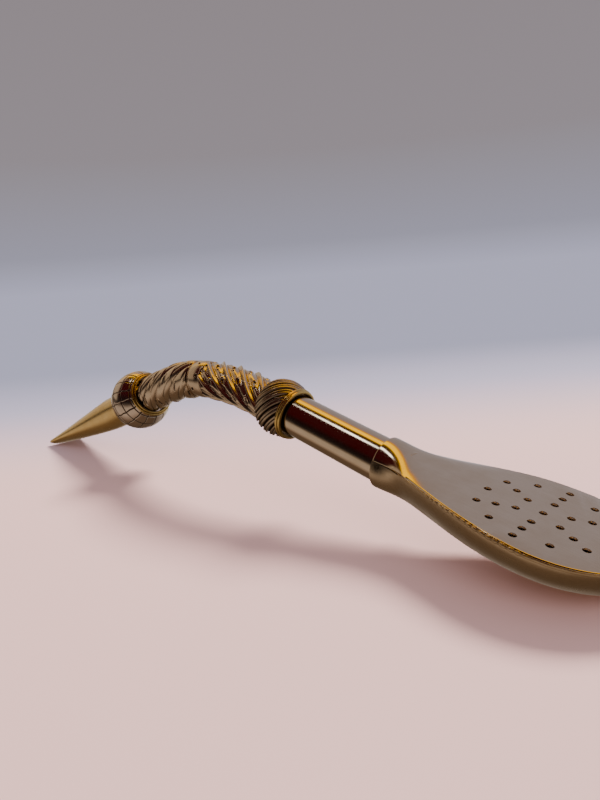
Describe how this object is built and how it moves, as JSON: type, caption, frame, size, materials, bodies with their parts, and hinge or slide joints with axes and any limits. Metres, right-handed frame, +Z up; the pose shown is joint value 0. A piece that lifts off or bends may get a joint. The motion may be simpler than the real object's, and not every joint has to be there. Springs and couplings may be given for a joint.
{
  "type": "mate straw",
  "caption": "Bent metal mate straw: flat-lipped brass mouthpiece, engraved ball, twisted bend, rope ring, straight shaft and a closed perforated spoon filter.",
  "frame": {"origin": "on the floor, at the centre of the object's length and width", "axes": "+X along the straw towards the spoon, +Z up, the bend lies in the plane y = 0"},
  "size_m": [0.1662, 0.0252, 0.0283],
  "materials": {
    "brass": "polished pale brass, fine drawing lines",
    "bronze": "polished bronze ridges with dark hollows",
    "nickel_silver": "mirror polished nickel silver",
    "engraved_silver": "polished nickel silver with dark engraved lines",
    "aged_silver": "oxidised silver, worn bright on the crests",
    "satin_silver": "satin nickel silver with drawn marks",
    "solder": "file-dressed hard solder"
  },
  "bodies": {
    "root": {"mouthpiece": "brass", "mouthpiece_collar": "nickel_silver", "ball_rear_half": "engraved_silver", "ball_front_half": "engraved_silver", "ball_rim_ring": "bronze", "inner_tube": "nickel_silver", "twist_sleeve_lower": "aged_silver", "twist_sleeve_upper": "aged_silver", "twist_mid_band": "aged_silver", "rope_ring": "aged_silver", "rope_ring_rim": "bronze", "shaft_tube": "nickel_silver", "spoon_filter_plate": "nickel_silver", "spoon_back_shell": "satin_silver", "seam_solder": "solder"}
  },
  "joints": []
}
